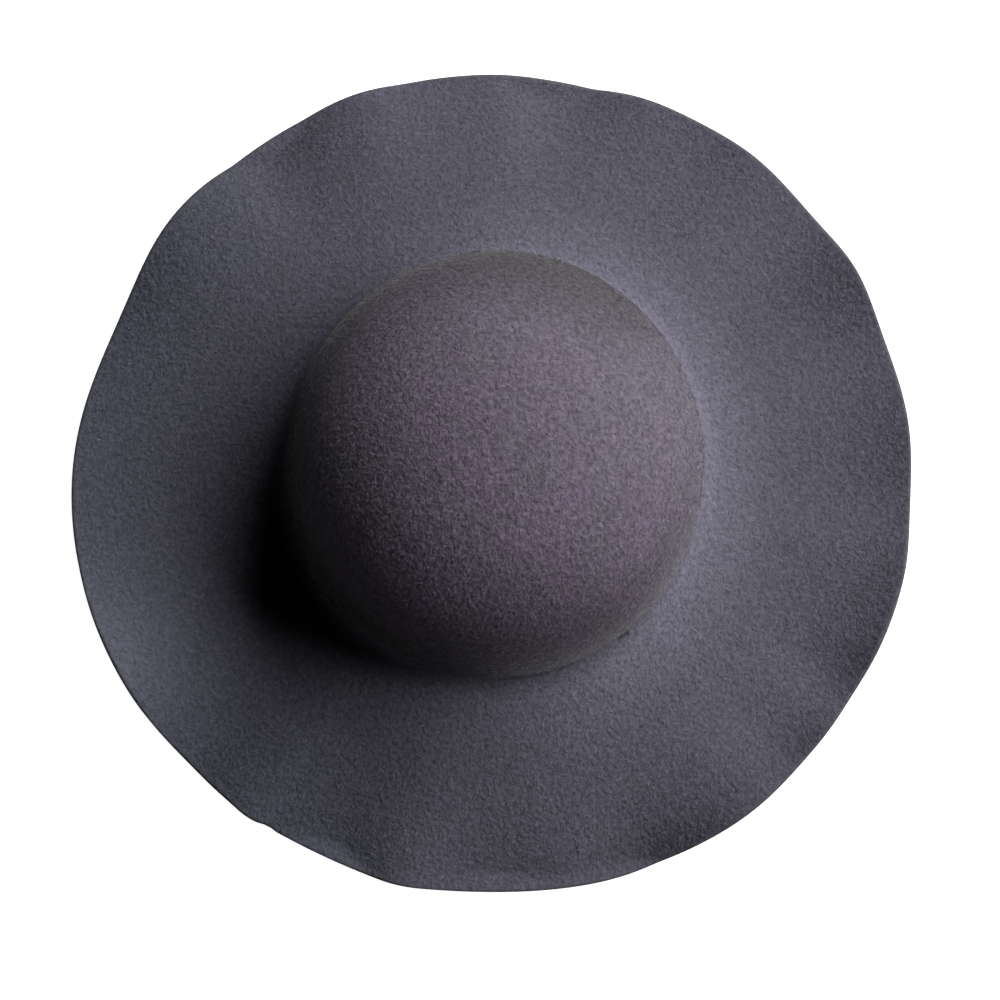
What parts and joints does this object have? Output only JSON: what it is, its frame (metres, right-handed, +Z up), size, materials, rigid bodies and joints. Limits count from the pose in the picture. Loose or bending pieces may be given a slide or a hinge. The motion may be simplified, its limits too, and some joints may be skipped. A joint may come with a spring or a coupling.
{
  "type": "floppy felt hat",
  "caption": "Floppy felt hat with a round domed crown and a wide wavy brim with a raw-cut edge, in one piece of moulded wool felt.",
  "frame": {"origin": "middle of the brim's outline, on the surface that the hat lies on", "axes": "+Z up through the top of the crown, +Y to the back of the hat, +X to the right as seen from its front"},
  "size_m": [0.3896, 0.389, 0.12],
  "materials": {
    "wool_felt": "brushed wool felt, matt, with a fine fuzzy nap"
  },
  "bodies": {
    "root": {"felt_body": "wool_felt"}
  },
  "joints": []
}
